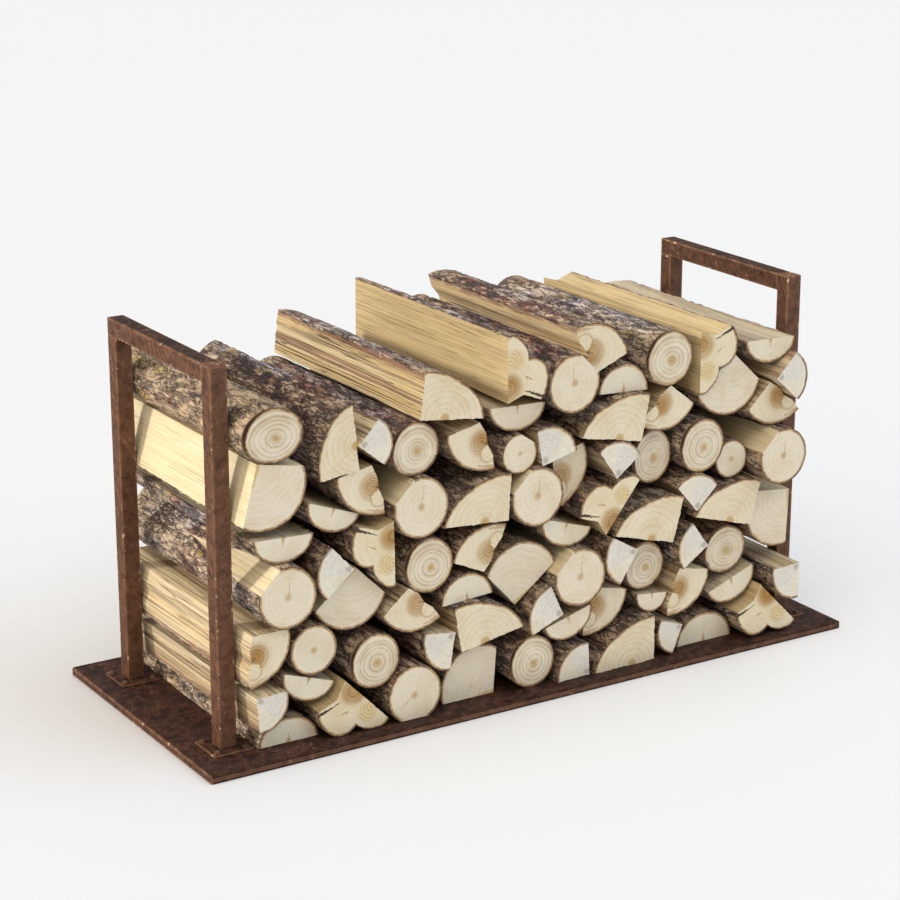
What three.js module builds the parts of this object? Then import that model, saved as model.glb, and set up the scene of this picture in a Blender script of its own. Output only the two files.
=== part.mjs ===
// A steel firewood rack filled with round and split logs.
// Millimetres, +Z up, +X along the rack, the sawn front ends face -Y.
// The origin is on the floor, under the middle of the base plate.

import * as THREE from "three";

// ---- Driving dimensions ------------------------------------------------

const PLATE = { length: 1076, depth: 450, thickness: 11 };
const FOOT = { side: 60, thickness: 3 };
const BAR = 25; // square bar of the end frames
const FRAME = { halfLength: 490, halfDepth: 157, height: 548 }; // to the outer faces

const LOG_FRONT = -195; // where a log with no set-back is sawn off
const LOG_BACK = 208; // the far ends are uneven: they scatter about this line
const BACK_SCATTER = 10;
const GAP = 0.4; // left between neighbouring logs
const FACET = 9; // longest facet on a round stretch of bark

// ---- Log cross-sections -------------------------------------------------
// Corners go anticlockwise, seen from the front: [across, up, bulge]. The bulge is how far
// the side from that corner to the next bows out: bark does, a split face is straight (0).
// The heart of the tree is at [0, 0], or close by it.

const SECTIONS = {
  // A round branch, its heart a little off centre.
  ring_log: [[37, 4, 12], [-4, 45, 12], [-45, 4, 12], [-4, -37, 12]],
  // A round branch with one slab split off its flank.
  slab_log: [[-9, 42, 0], [-43, 8, 16], [0, -45, 13], [44, -1, 16]],
  // A quarter of a thick trunk: two split faces meet at the heart.
  quarter_log: [[0, 0, 0], [66, 62, 11], [0, 98, 11], [-54, 50, 0]],
  // A thin log split once, down the middle.
  half_log: [[46, 0, 0], [-46, 0, 4.5], [-27, -29, 7.5], [27, -29, 4.5]],
  // A thick log split twice, so that it keeps one square corner.
  split_log: [[-39, 0, 0], [65, 0, 7], [28, 49, 6], [-39, 67, 0]],
  // A log that broke through a knot: its rough side is not straight.
  knot_log: [[-3, 30, 0], [-57, 17, 7], [-28, -32, 4], [21, -41, 0], [18, -20, 0], [9, -4, 0], [7, 12, 0]],
  // Two stems grown together, with a fold in the bark between them.
  twin_log: [[-14, 17, 0], [-27, -8, 0], [-58, -22, 7], [-30, -62, 5], [3, -53, 4], [36, -63, 3], [55, -54, 0]],
};

// ---- The pile -----------------------------------------------------------
// One row a log, as first laid: its heart's x and z, the turn in degrees (anticlockwise from
// the front), its size across and up, and how far it is set back. A size across below zero
// is the mirrored log.

const PILE = {
  ring_log: [
    [-420, 450, 0, 1.12, 0.93, 3],
    [-199, 394, 0, 0.95, 0.93, 3],
    [-177, 226, 0, 0.98, 0.98, 3],
    [-263, 102, 0, 0.97, 0.98, 3],
    [-5, 47, 0, 0.95, 0.96, 3],
    [202, 148, 0, 0.88, 0.9, 20],
    [347, 148, 0, 0.97, 0.9, 15],
    [213, 319, 0, 0.86, 1, 20],
    [225, 462, 0, 1.03, 1, 0],
    [287, 323, 0, 0.98, 1, 0],
  ],
  slab_log: [
    [-202, 322, 0, 1, 1, -7],
    [-406, 230, 0, 1, 1, -7],
    [-212, 46, 134, 0.98, 0.98, -7],
    [-8, 302, 0, 0.99, 0.99, -7],
    [55, 458, -91, 0.98, 0.98, -7],
    [418, 297, 0, 0.98, 0.98, -24],
    [67, 168, 0, 1, 1, -7],
  ],
  quarter_log: [
    [-443, 418, -148, 0.98, 0.98, 5],
    [-292, 246, 178, 0.92, 0.92, 14],
    [-67, 12, 43, -0.95, 0.95, 14],
    [-31, 138, -5, 0.96, 0.96, 14],
    [340, 459, 179, 0.95, 0.95, 6],
    [455, 229, 131, -0.95, 0.95, 10],
  ],
  half_log: [
    [-397, 12, 180, 1.02, 1.02, 16],
    [402, 472, -2, 1, 1, -4],
    [312, 12, 180, 1.12, 1.3, 16],
  ],
  split_log: [
    [-293, 415, 96, 0.92, 0.92, 0],
    [-160, 437, -7, 1, 1, -5],
    [-93, 100, 10, 1.02, 1.02, -5],
    [-95, 277, -4, -1.02, 1.02, -5],
    [137, 360, -11, -1.04, 1.04, -5],
    [193, 199, -15, -1.05, 1.05, -5],
    [341, 200, -16, -1.03, 1.03, -5],
    [163, 11.5, 0, -1.03, 1.03, -5],
  ],
  knot_log: [
    [-95, 392, 0, 1, 1, 3],
    [-270, 365, -3, 1, 1, 3],
    [-198, 177, 26, 0.98, 0.98, 3],
    [-450, 151, 15, -1, 1, 3],
    [-83, 231, 169, -1, 1, 3],
    [86, 492, 189, 1.05, 1.05, 3],
    [206, 398, -25, -1, 1, 4],
    [425, 378, 30, 1, 1, 0],
    [250, 112, 2, -1, 1, 3],
  ],
  twin_log: [
    [-239, 287, -43, 0.96, 0.96, -5],
    [-306, 74, 0, 1, 1, -5],
    [-56, 465, 136, 0.97, 0.97, -5],
    [277, 477, 44, -0.95, 0.95, -5],
    [124, 240, 186, -0.97, 0.97, -5],
    [405, 77, 0, 1, 1, -14],
  ],
};

// ---- Materials ----------------------------------------------------------

const rustySteel = new THREE.MeshStandardMaterial({ color: "#50322a", roughness: 0.7, metalness: 0.6 });
const wornSteel = new THREE.MeshStandardMaterial({ color: "#5c3a2e", roughness: 0.6, metalness: 0.6 });

function woodMaterial(name) {
  const color = name === "quarter_log" ? "#cbbf9f" : "#d9c69c";
  return new THREE.MeshStandardMaterial({ color, roughness: 0.85, metalness: 0 });
}

// ---- Outlines -----------------------------------------------------------

// The points from one corner up to, but not with, the next, along a circular arc.
function side([ax, ay, bulge], [bx, by]) {
  const start = new THREE.Vector2(ax, ay);
  if (bulge === 0) return [start];
  const end = new THREE.Vector2(bx, by);
  const chord = end.clone().sub(start);
  const half = chord.length() / 2;
  const radius = (half * half + bulge * bulge) / (2 * bulge);
  const sweep = 2 * Math.asin(Math.min(1, half / radius));
  const inward = new THREE.Vector2(-chord.y, chord.x).normalize();
  const centre = start.clone().add(end).multiplyScalar(0.5).addScaledVector(inward, radius - bulge);
  const steps = Math.ceil((sweep * radius) / FACET);
  return Array.from({ length: steps }, (_, k) => start.clone().rotateAround(centre, (sweep * k) / steps));
}

// A log's outline about its heart, turned and at its own size.
function outline(section, turn, across, up) {
  const corners = SECTIONS[section];
  const points = corners.flatMap((corner, k) => side(corner, corners[(k + 1) % corners.length]));
  points.forEach((p) => p.multiply(new THREE.Vector2(across, up)));
  if (across < 0) points.reverse();
  const origin = new THREE.Vector2();
  return points.map((p) => p.rotateAround(origin, THREE.MathUtils.degToRad(turn)));
}

// ---- Settling the pile --------------------------------------------------
// The rows above are where the logs are laid; here they are eased apart, until each one
// clears its neighbours, the base plate, the foot plates and the posts.

const INNER_FACE = FRAME.halfLength - BAR;
const FOOT_EDGE = FRAME.halfLength - BAR / 2 - FOOT.side / 2;

// The shortest shift of b that parts it from a by the gap, or null if they are clear.
function parting(a, b) {
  let best = null;
  for (const points of [a.points, b.points]) {
    for (let k = 0; k < points.length; k++) {
      const p = points[k];
      const q = points[(k + 1) % points.length];
      const normal = new THREE.Vector2(q.y - p.y, p.x - q.x).normalize();
      const reach = (log, sign) => {
        const far = Math.max(...log.points.map((v) => sign * v.dot(normal)));
        return far + sign * log.place.dot(normal);
      };
      const forward = reach(a, 1) + reach(b, -1) + GAP;
      const backward = reach(b, 1) + reach(a, -1) + GAP;
      if (forward <= 0 || backward <= 0) return null;
      const depth = Math.min(forward, backward);
      if (best === null || depth < best.length()) {
        best = normal.clone().multiplyScalar(forward < backward ? forward : -backward);
      }
    }
  }
  return best;
}

// Keeps a log inside the rack.
function contain(log) {
  for (const p of log.points) {
    const x = log.place.x + p.x;
    const overFoot = Math.abs(x) > FOOT_EDGE - GAP;
    const floor = PLATE.thickness + GAP + (overFoot ? FOOT.thickness : 0);
    log.place.y = Math.max(log.place.y, floor - p.y);
    log.place.x = THREE.MathUtils.clamp(log.place.x, GAP - INNER_FACE - p.x, INNER_FACE - GAP - p.x);
  }
}

function settle(logs) {
  const ROUNDS = 400;
  for (let round = 0; round < ROUNDS; round++) {
    let moved = false;
    logs.forEach((a, i) => {
      for (const b of logs.slice(i + 1)) {
        if (a.place.distanceTo(b.place) > a.reach + b.reach + GAP) continue;
        const shift = parting(a, b);
        if (shift === null) continue;
        a.place.addScaledVector(shift, -0.5);
        b.place.addScaledVector(shift, 0.5);
        moved = true;
      }
    });
    logs.forEach(contain);
    if (!moved) return round;
  }
  return ROUNDS;
}

function layPile() {
  const logs = [];
  for (const [section, rows] of Object.entries(PILE)) {
    rows.forEach(([x, z, turn, across, up, setBack], k) => {
      const points = outline(section, turn, across, up);
      const reach = Math.max(...points.map((p) => p.length()));
      const name = `${section}_${String(k + 1).padStart(2, "0")}`;
      logs.push({ name, section, points, reach, place: new THREE.Vector2(x, z), setBack });
    });
  }
  settle(logs);
  return logs;
}

// ---- Sub-parts ----------------------------------------------------------

function box(name, material, [x0, x1], [y0, y1], [z0, z1]) {
  const mesh = new THREE.Mesh(new THREE.BoxGeometry(x1 - x0, y1 - y0, z1 - z0), material);
  mesh.name = name;
  mesh.position.set((x0 + x1) / 2, (y0 + y1) / 2, (z0 + z1) / 2);
  return mesh;
}

// A log: the outline sawn off square at both ends, a little thinner at the back.
function logMesh(log, index) {
  const taper = 0.95 + 0.04 * ((index * 0.618) % 1);
  const back = LOG_BACK + BACK_SCATTER * Math.sin(index * 2.4);
  const depth = back - LOG_FRONT - log.setBack;
  const geometry = new THREE.ExtrudeGeometry(new THREE.Shape(log.points), { depth, bevelEnabled: false });
  const corner = geometry.getAttribute("position");
  for (let k = 0; k < corner.count; k++) {
    const scale = corner.getZ(k) === 0 ? taper : 1;
    corner.setXY(k, corner.getX(k) * scale, corner.getY(k) * scale);
  }
  geometry.rotateX(Math.PI / 2);
  const mesh = new THREE.Mesh(geometry, woodMaterial(log.section));
  mesh.name = log.name;
  mesh.position.set(log.place.x, back, log.place.y);
  return mesh;
}

// ---- The rack and its logs ----------------------------------------------

const group = new THREE.Group();

const halfPlate = [PLATE.length / 2, PLATE.depth / 2];
group.add(box("base_plate", rustySteel, [-halfPlate[0], halfPlate[0]], [-halfPlate[1], halfPlate[1]],
  [0, PLATE.thickness]));

const footTop = PLATE.thickness + FOOT.thickness;
const barUnderside = FRAME.height - BAR;
for (const [end, alongX] of [["left", -1], ["right", 1]]) {
  const postX = alongX * (FRAME.halfLength - BAR / 2);
  const spanX = [postX - BAR / 2, postX + BAR / 2];
  for (const [depth, alongY] of [["front", -1], ["rear", 1]]) {
    const postY = alongY * (FRAME.halfDepth - BAR / 2);
    const spanY = [postY - BAR / 2, postY + BAR / 2];
    group.add(box(`${end}_${depth}_foot`, wornSteel,
      [postX - FOOT.side / 2, postX + FOOT.side / 2], [postY - FOOT.side / 2, postY + FOOT.side / 2],
      [PLATE.thickness, footTop]));
    // The front post runs to the top; the bar lies on the rear one.
    const top = depth === "front" ? FRAME.height : barUnderside;
    group.add(box(`${end}_${depth}_post`, rustySteel, spanX, spanY, [footTop, top]));
  }
  group.add(box(`${end}_top_bar`, rustySteel, spanX, [BAR - FRAME.halfDepth, FRAME.halfDepth],
    [barUnderside, FRAME.height]));
}

layPile().forEach((log, index) => group.add(logMesh(log, index)));

export default group;
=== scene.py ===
# %% [markdown]
# # A steel rack filled with split firewood
#
# The rack is a flat steel plate with a square-bar frame standing at each end. Between the
# frames lies a winter's worth of branch wood: round logs, halves, quarters and wedges, all
# cut to the same length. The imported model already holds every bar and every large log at
# its real size, so this lesson only gives them their surfaces: torn fibres, plated bark,
# year rings and rust. It also fills the gaps of the pile with the thinner sticks.

# %% Load the frame
import math
from types import SimpleNamespace

import bmesh
import bpy
from mathutils import Matrix, Vector, noise


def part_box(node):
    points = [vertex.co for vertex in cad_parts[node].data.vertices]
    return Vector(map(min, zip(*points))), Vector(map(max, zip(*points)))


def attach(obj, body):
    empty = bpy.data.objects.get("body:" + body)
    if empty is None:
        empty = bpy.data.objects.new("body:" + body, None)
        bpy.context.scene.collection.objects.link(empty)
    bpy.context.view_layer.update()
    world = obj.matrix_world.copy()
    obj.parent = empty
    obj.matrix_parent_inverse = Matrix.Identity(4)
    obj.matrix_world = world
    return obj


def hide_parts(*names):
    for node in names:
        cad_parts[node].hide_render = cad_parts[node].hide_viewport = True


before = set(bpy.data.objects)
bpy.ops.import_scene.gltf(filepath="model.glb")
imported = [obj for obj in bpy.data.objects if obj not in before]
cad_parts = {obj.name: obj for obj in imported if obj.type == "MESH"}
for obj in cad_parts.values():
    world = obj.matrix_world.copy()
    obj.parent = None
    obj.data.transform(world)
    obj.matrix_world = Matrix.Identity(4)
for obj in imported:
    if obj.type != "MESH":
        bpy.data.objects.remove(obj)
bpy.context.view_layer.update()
print("nodes in the frame:", len(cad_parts))

# %% [markdown]
# ## Camera
#
# A long lens looks slightly down on the left front corner of the rack. A long lens keeps
# the far frame nearly as large as the near one, which is how such a product is usually
# pictured. The camera's place and angles are set directly, and it has no shift.

# %% Camera
camera = bpy.data.objects.new("camera", bpy.data.cameras.new("camera"))
bpy.context.scene.collection.objects.link(camera)
camera.data.sensor_width = 36.0
camera.data.lens = 100.8
camera.data.clip_end = 200.0
camera.location = (-1.885, -2.973, 1.409)
camera.rotation_euler = [math.radians(angle) for angle in (72.74, 0.0, -32.01)]
bpy.context.scene.camera = camera
print("camera stands", round(camera.location.length, 2), "m from the rack")

# %% [markdown]
# ## Light
#
# The studio is white all round: a pale world and one very large, very soft sun above. Two
# wide suns stand at the sides in front, a cool one at the right and a warm one at the left,
# so that each tints the shade that the rack keeps from the other, as two windows would. A
# low warm key at the left, a little behind the rack, makes the split faces there glow and
# throws the shadows of the posts across them. All four lamps are suns, because a sun lights
# a floor evenly however far it reaches. The key lights only the rack and its logs, as if a
# flag kept it off the floor.

# %% World and lamps
scene = bpy.context.scene
scene.view_settings.view_transform = "Standard"

world = bpy.data.worlds.new("studio")
scene.world = world
world.use_nodes = True
sky = world.node_tree.nodes["Background"]
sky.inputs["Color"].default_value = (1.0, 1.0, 1.0, 1.0)
sky.inputs["Strength"].default_value = 0.5

RACK = bpy.data.collections.new("rack_and_logs")
scene.collection.children.link(RACK)

SUNS = {
    # name: where it shines from, watts a square metre, softness in degrees, colour, only the rack
    "soft_top": ((0.0, -0.45, 1.6), 1.0, 85.0, (1.0, 0.985, 0.975), False),
    "cool_right": ((1.2, -0.9, 1.1), 0.76, 60.0, (0.44, 0.71, 1.0), False),
    "warm_left": ((-1.2, -0.9, 1.1), 0.72, 60.0, (1.0, 0.77, 0.49), False),
    "left_key": ((-1.0, 0.3, 0.4), 2.3, 6.0, (1.0, 0.955, 0.86), True),
}
for name, (source, strength, softness, colour, only_rack) in SUNS.items():
    data = bpy.data.lights.new(name, "SUN")
    data.energy = strength
    data.angle = math.radians(softness)
    data.color = colour
    lamp = bpy.data.objects.new(name, data)
    lamp.rotation_euler = Vector(source).to_track_quat("Z", "Y").to_euler()
    scene.collection.objects.link(lamp)
    if only_rack:
        lamp.light_linking.receiver_collection = RACK
print("suns:", ", ".join(SUNS))

# %% [markdown]
# ## Node helpers
#
# Every finish below is a node tree. Writing trees by hand takes many lines, so these small
# helpers add one node each and wire it at once. A helper takes either a plain number or
# the output of another node for each of its inputs.

# %% Helpers for node trees
def put(tree, kind, inputs=(), **settings):
    """Adds one node, with its settings, and fills or wires its inputs."""
    node = tree.nodes.new(kind)
    for key, value in settings.items():
        setattr(node, key, value)
    for socket, value in dict(inputs).items():
        if isinstance(value, bpy.types.NodeSocket):
            tree.links.new(value, node.inputs[socket])
        else:
            opaque = node.inputs[socket].type == "RGBA" and len(value) == 3
            node.inputs[socket].default_value = (*value, 1.0) if opaque else value
    return node


def maths(tree, operation, a, b=0.0):
    return put(tree, "ShaderNodeMath", {0: a, 1: b}, operation=operation).outputs[0]


def plus(tree, a, b):
    return maths(tree, "ADD", a, b)


def minus(tree, a, b):
    return maths(tree, "SUBTRACT", a, b)


def times(tree, a, b):
    return maths(tree, "MULTIPLY", a, b)


def vectors(tree, operation, a, b=(0.0, 0.0, 0.0), output=0):
    return put(tree, "ShaderNodeVectorMath", {0: a, 1: b}, operation=operation).outputs[output]


def ease(tree, value, low, high, start=0.0, end=1.0):
    """A soft step: start below low, end above high. low may be the larger number."""
    sockets = {"Value": value, "From Min": low, "From Max": high, "To Min": start, "To Max": end}
    return put(tree, "ShaderNodeMapRange", sockets, interpolation_type="SMOOTHSTEP").outputs[0]


def tint(tree, amount, under, over, blend="MIX"):
    sockets = {0: amount, 6: under, 7: over}
    return put(tree, "ShaderNodeMix", sockets, data_type="RGBA", blend_type=blend).outputs[2]


def cloud(tree, vector, scale, detail=3.0, roughness=0.55, distortion=0.0):
    """Cloudy noise, from 0 to 1."""
    sockets = {"Vector": vector, "Scale": scale, "Detail": detail, "Roughness": roughness,
               "Distortion": distortion}
    return put(tree, "ShaderNodeTexNoise", sockets).outputs[0]


def cells(tree, vector, scale, feature="F1", output="Distance"):
    sockets = {"Vector": vector, "Scale": scale}
    return put(tree, "ShaderNodeTexVoronoi", sockets, feature=feature).outputs[output]


def attribute(tree, name, output="Fac"):
    return put(tree, "ShaderNodeAttribute", attribute_name=name).outputs[output]


def new_group(name, inputs, outputs):
    """A shader node group with named sockets. Returns its tree, its inputs and its outputs."""
    tree = bpy.data.node_groups.new(name, "ShaderNodeTree")
    for in_out, sockets in (("INPUT", inputs), ("OUTPUT", outputs)):
        for socket, kind in sockets.items():
            tree.interface.new_socket(name=socket, in_out=in_out, socket_type=f"NodeSocket{kind}")
    entry = tree.nodes.new("NodeGroupInput").outputs
    leave = tree.nodes.new("NodeGroupOutput").inputs
    return tree, entry, leave


def deliver(tree, leave, **results):
    for socket, value in results.items():
        tree.links.new(value, leave[socket])


def blank_material(name):
    material = bpy.data.materials.new(name)
    material.use_nodes = True
    tree = material.node_tree
    return material, tree, tree.nodes["Principled BSDF"]


def finish_surface(tree, shader, colour, roughness, height, strength, distance):
    """Feeds a colour, a roughness and a bump height to the shader of one material."""
    tree.links.new(colour, shader.inputs["Base Color"])
    tree.links.new(roughness, shader.inputs["Roughness"])
    bump = put(tree, "ShaderNodeBump", {"Height": height, "Strength": strength, "Distance": distance})
    tree.links.new(bump.outputs[0], shader.inputs["Normal"])

# %% [markdown]
# ## Coordinates inside a log
#
# A log's pattern belongs to the tree it grew in: rings lie round its heart, fibres run
# along it. So each log will carry a vector attribute called grain: millimetres across, up
# and along the log, measured from its heart at the front end. A second attribute, tree, is a
# different number for each log, and shifts every noise so that no two logs look alike.

# %% Shifted grain
def grain_of(tree, grain, seed, stretch):
    """The grain vector, squeezed by stretch, and moved to a place of its own for each log."""
    squeezed = vectors(tree, "MULTIPLY", grain, stretch)
    shift = vectors(tree, "SCALE", (17.3, 31.7, 57.1))
    tree.links.new(seed, shift.node.inputs["Scale"])
    return vectors(tree, "ADD", squeezed, shift)

# %% [markdown]
# ## Sawn ends
#
# A saw leaves a flat, pale disc that shows the year rings, the darker heart and, at its
# rim, a line of bark with a golden band of young wood inside it. The rings are a function
# of the distance from the heart, which a little noise pushes about, because no tree grows
# evenly. The rim attribute is 1 at the outer edge of the bark and falls to 0 in the wood.

# %% The sawn-end group
def build_sawn_end():
    tree, entry, leave = new_group(
        "Sawn end",
        {"Grain": "Vector", "Tree": "Float", "Rim": "Float", "Wood": "Color",
         "Ring Colour": "Color", "Ring Width": "Float", "Ring Strength": "Float",
         "Heart Radius": "Float", "Heart Strength": "Float"},
        {"Colour": "Color", "Roughness": "Float", "Height": "Float"})
    grain, seed = entry["Grain"], entry["Tree"]
    flat = vectors(tree, "MULTIPLY", grain, (1.0, 1.0, 0.0))
    place = grain_of(tree, grain, seed, (1.0, 1.0, 0.2))
    sway = cloud(tree, place, 0.022, 1.0)
    wobble = cloud(tree, place, 0.16, 2.0)
    reach = vectors(tree, "LENGTH", flat, output="Value")
    bent = times(tree, reach, plus(tree, times(tree, sway, 0.26), 0.87))
    bent = plus(tree, bent, times(tree, wobble, 0.8))
    # Wide and narrow years: the phase runs ahead and falls behind along the radius.
    along = put(tree, "ShaderNodeCombineXYZ", {0: times(tree, bent, 0.11), 1: seed})
    years = cloud(tree, along.outputs[0], 1.0, 2.0)
    phase = plus(tree, maths(tree, "DIVIDE", bent, entry["Ring Width"]), times(tree, years, 1.7))
    wave = maths(tree, "COSINE", times(tree, phase, 2 * math.pi))
    line = maths(tree, "POWER", plus(tree, times(tree, wave, 0.5), 0.5), 1.6)
    second = maths(tree, "COSINE", times(tree, phase, 4.7 * math.pi))
    line = plus(tree, times(tree, line, 0.8), times(tree, second, 0.16))
    patchy = ease(tree, cloud(tree, place, 0.045, 3.0), 0.32, 0.62, 0.45, 1.0)
    heart = ease(tree, bent, entry["Heart Radius"], times(tree, entry["Heart Radius"], 0.35))
    heart = times(tree, heart, entry["Heart Strength"])
    strength = times(tree, entry["Ring Strength"], patchy)
    strength = plus(tree, strength, times(tree, heart, 0.75))
    colour = tint(tree, times(tree, line, strength), entry["Wood"], entry["Ring Colour"])
    # The heart is ochre, its very middle darker.
    colour = tint(tree, times(tree, heart, ease(tree, sway, 0.2, 0.7, 0.45, 0.95)), colour,
                  (0.56, 0.36, 0.12), "MULTIPLY")
    pith = ease(tree, plus(tree, reach, times(tree, wobble, 3.0)), 5.2, 2.6)
    colour = tint(tree, times(tree, pith, 0.6), colour, (0.50, 0.27, 0.06))
    # Warm and cool patches, and faint strokes of the saw.
    zones = maths(tree, "COSINE", times(tree, phase, 2.3))
    zones = times(tree, ease(tree, zones, -0.6, 0.9), times(tree, strength, 0.42))
    colour = tint(tree, zones, colour, (0.78, 0.66, 0.46), "MULTIPLY")
    patches = cloud(tree, place, 0.022, 4.0)
    colour = tint(tree, ease(tree, patches, 0.42, 0.68, 0.0, 0.32), colour, (0.82, 0.70, 0.48),
                  "MULTIPLY")
    strokes = cloud(tree, grain_of(tree, grain, seed, (0.05, 0.75, 0.0)), 1.0, 3.0, 0.7, 0.3)
    colour = tint(tree, ease(tree, strokes, 0.5, 0.75, 0.0, 0.14), colour, (0.55, 0.45, 0.33), "MULTIPLY")
    fleck = cloud(tree, place, 1.1, 2.0)
    # The rim: golden young wood, then the thin dark line of the bark.
    fray = minus(tree, cloud(tree, place, 0.4, 3.0), 0.5)
    ragged = plus(tree, entry["Rim"], times(tree, fray, 0.55))
    golden = times(tree, ease(tree, ragged, 0.04, 0.24), 0.86)
    young_wood = tint(tree, ease(tree, cloud(tree, place, 0.12, 3.0), 0.35, 0.65), (0.22, 0.105, 0.035),
                      (0.54, 0.335, 0.11))
    colour = tint(tree, golden, colour, young_wood)
    dark = ease(tree, ragged, 0.60, 0.82)
    bark_line = tint(tree, ease(tree, fleck, 0.4, 0.6), (0.045, 0.022, 0.014), (0.17, 0.095, 0.055))
    colour = tint(tree, dark, colour, bark_line)
    # Painted shade: where loose bark has parted from the wood, the open groove is painted nearly black.
    loose = ease(tree, entry["Rim"], 1.05, 1.3)
    colour = tint(tree, loose, colour, (0.075, 0.026, 0.016))
    height = plus(tree, times(tree, strokes, 0.7), times(tree, fleck, 0.3))
    height = minus(tree, height, times(tree, dark, 0.5))
    roughness = ease(tree, fleck, 0.2, 0.8, 0.68, 0.86)
    deliver(tree, leave, Colour=colour, Roughness=roughness, Height=height)
    return tree


SAWN_END = build_sawn_end()
print("sawn-end group has", len(SAWN_END.nodes), "nodes")

# %% [markdown]
# ## Split faces
#
# An axe does not cut wood, it tears it along the fibres. The face is straw yellow with long
# thin streaks: brown where the tear crosses heartwood, nearly black where it opened a
# crack. All the noises are squeezed hard along the log, which draws them out into fibres.

# %% The split-face group
def build_split_face():
    tree, entry, leave = new_group(
        "Split face",
        {"Grain": "Vector", "Tree": "Float", "Straw": "Color", "Streaks": "Float"},
        {"Colour": "Color", "Roughness": "Float", "Height": "Float"})
    grain, seed, streaks = entry["Grain"], entry["Tree"], entry["Streaks"]
    bands = cloud(tree, grain_of(tree, grain, seed, (0.07, 0.07, 0.0009)), 1.0, 3.0, 0.6, 0.2)
    fibres = cloud(tree, grain_of(tree, grain, seed, (0.45, 0.45, 0.0024)), 1.0, 3.0, 0.65, 0.1)
    hairs = cloud(tree, grain_of(tree, grain, seed, (1.2, 1.2, 0.007)), 1.0, 3.0, 0.6)
    rough = plus(tree, times(tree, streaks, 0.75), 0.25)
    colour = tint(tree, times(tree, ease(tree, bands, 0.36, 0.66), rough), entry["Straw"],
                  (0.86, 0.76, 0.60), "MULTIPLY")
    colour = tint(tree, times(tree, ease(tree, fibres, 0.5, 0.66, 0.0, 0.42), rough), colour,
                  (0.42, 0.29, 0.15))
    colour = tint(tree, times(tree, ease(tree, hairs, 0.45, 0.75, 0.0, 0.6), rough), colour,
                  (0.52, 0.38, 0.22), "MULTIPLY")
    lines = cloud(tree, grain_of(tree, grain, seed, (0.55, 0.55, 0.0022)), 1.0, 2.0, 0.55, 0.1)
    lines = times(tree, ease(tree, lines, 0.565, 0.615), times(tree, streaks, 0.9))
    colour = tint(tree, lines, colour, (0.095, 0.052, 0.032))
    # Brown strips, and thin dark tears inside and beside them.
    strip = cloud(tree, grain_of(tree, grain, seed, (0.13, 0.13, 0.0009)), 1.0, 4.0, 0.62, 0.2)
    brown = plus(tree, strip, times(tree, streaks, 0.13))
    brown = times(tree, ease(tree, brown, 0.63, 0.685), streaks)
    strip_colour = tint(tree, ease(tree, fibres, 0.3, 0.65), (0.11, 0.055, 0.034), (0.36, 0.21, 0.13))
    colour = tint(tree, times(tree, brown, 0.85), colour, strip_colour)
    tear = cloud(tree, grain_of(tree, grain, seed, (0.22, 0.22, 0.0016)), 1.0, 2.0, 0.5, 0.3)
    thin = ease(tree, maths(tree, "ABSOLUTE", minus(tree, tear, 0.5)), 0.022, 0.006)
    where = ease(tree, cloud(tree, grain_of(tree, grain, seed, (0.05, 0.05, 0.007)), 1.0, 2.0), 0.42, 0.56)
    thin = times(tree, times(tree, thin, where), plus(tree, times(tree, streaks, 0.7), 0.25))
    colour = tint(tree, thin, colour, (0.06, 0.035, 0.022))
    height = plus(tree, times(tree, fibres, 1.0), times(tree, hairs, 0.45))
    height = minus(tree, height, times(tree, thin, 0.7))
    height = minus(tree, height, times(tree, brown, 0.15))
    roughness = ease(tree, hairs, 0.2, 0.8, 0.6, 0.85)
    deliver(tree, leave, Colour=colour, Roughness=roughness, Height=height)
    return tree


SPLIT_FACE = build_split_face()
print("split-face group has", len(SPLIT_FACE.nodes), "nodes")

# %% [markdown]
# ## Bark
#
# Bark is dead skin that the growing tree has burst: plates, flakes on the plates, and dark
# fissures between them. Its colour changes over a hand's width, from purple grey to rust,
# tan and the pale green of lichen. The deep fissures are real geometry, and their depth
# reaches the material as the attribute fissure, which paints shade into them. Close to a
# sawn end the outer skin has flaked off, and the bark there is lighter and more tan.

# %% Patterns in the bark
def bark_patterns(tree, grain, seed):
    """The flakes, chips, threads and clouds that the colours and the cracks of bark share."""
    place = grain_of(tree, grain, seed, (1.0, 1.0, 0.34))
    sockets = {"Vector": place, "Scale": 0.17, "Detail": 3.0, "Roughness": 0.6}
    drift = put(tree, "ShaderNodeTexNoise", sockets).outputs[1]
    drift = vectors(tree, "SUBTRACT", drift, (0.5, 0.5, 0.5))
    torn = vectors(tree, "ADD", place, vectors(tree, "MULTIPLY", drift, (7.0, 7.0, 9.0)))
    flake = put(tree, "ShaderNodeSeparateColor", {0: cells(tree, torn, 0.14, "F1", "Color")})
    chip = put(tree, "ShaderNodeSeparateColor", {0: cells(tree, torn, 0.36, "F1", "Color")})
    return SimpleNamespace(
        place=place, torn=torn, flake=flake.outputs, chip=chip.outputs,
        gap=cells(tree, torn, 0.14, "DISTANCE_TO_EDGE"),
        small_gap=cells(tree, torn, 0.36, "DISTANCE_TO_EDGE"),
        wide=cloud(tree, place, 0.012, 2.0, 0.5),
        middle=cloud(tree, place, 0.045, 3.0, 0.6),
        fine=cloud(tree, place, 0.6, 4.0, 0.7),
        threads=cloud(tree, grain_of(tree, grain, seed, (0.8, 0.8, 0.045)), 1.0, 5.0, 0.68, 0.4))

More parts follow.
